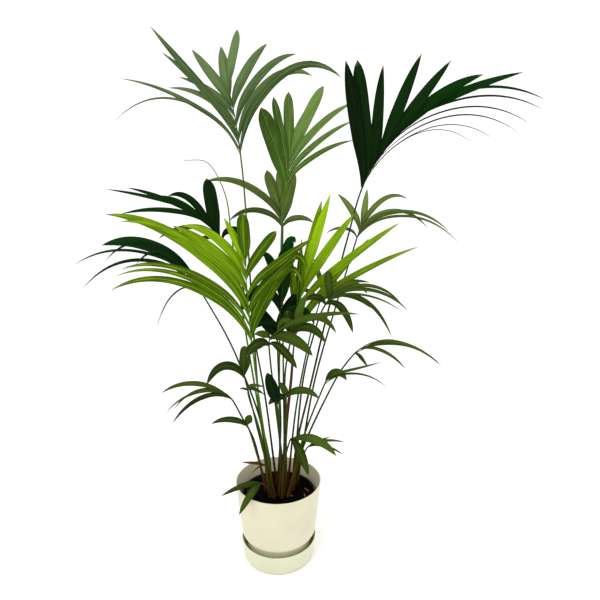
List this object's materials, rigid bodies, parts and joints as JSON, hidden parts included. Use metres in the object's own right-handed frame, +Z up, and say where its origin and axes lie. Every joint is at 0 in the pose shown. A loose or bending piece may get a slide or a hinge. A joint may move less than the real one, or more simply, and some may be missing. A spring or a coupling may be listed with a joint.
{
  "type": "potted kentia palm",
  "caption": "Kentia palm of several seedlings with arching feather fronds, rooted in soil in a growing pot inside a round cream planter with a deep saucer.",
  "frame": {"origin": "centre of the saucer's underside, where the whole plant stands", "axes": "+Z up, +X to the viewer's right and +Y away from the viewer, who faces the plant's fullest side"},
  "size_m": [1.5216, 0.5189, 1.7579],
  "materials": {
    "cream_plastic": "satin",
    "black_plastic": "satin",
    "soil": "matte",
    "culm": "satin",
    "leaf_deep": "satin",
    "leaf_dark": "gloss",
    "leaf_mid": "gloss",
    "leaf_fresh": "satin",
    "leaf_bright": "satin",
    "leaf_olive": "satin",
    "leaf_dry": "matte"
  },
  "bodies": {
    "root": {"culm_front_right": "culm", "culm_top_left": "culm", "culm_top_right": "culm", "dried_leaf": "leaf_dry", "frond_back": "leaf_olive", "frond_back_left": "leaf_deep", "frond_back_right": "leaf_dark", "frond_centre": "leaf_deep", "frond_front_left": "leaf_bright", "frond_front_right": "leaf_bright", "frond_left": "leaf_deep", "frond_right": "leaf_olive", "frond_right_low": "leaf_dark", "frond_right_middle": "leaf_dark", "frond_top_left": "leaf_mid", "frond_top_middle": "leaf_fresh", "frond_top_right": "leaf_deep", "leaf_centre": "leaf_deep", "nursery_pot": "black_plastic", "pair_front": "leaf_dark", "pair_left_low": "leaf_dark", "pair_left_middle": "leaf_dark", "pair_over_rim": "leaf_dark", "planter": "cream_plastic", "saucer": "cream_plastic", "soil": "soil", "spear": "leaf_bright", "young_centre_high": "leaf_dark", "young_centre_low": "leaf_dark", "young_centre_top": "leaf_dark", "young_left": "leaf_dark", "young_left_inner": "leaf_dark", "young_right": "leaf_dark", "young_right_low": "leaf_dark"}
  },
  "joints": []
}
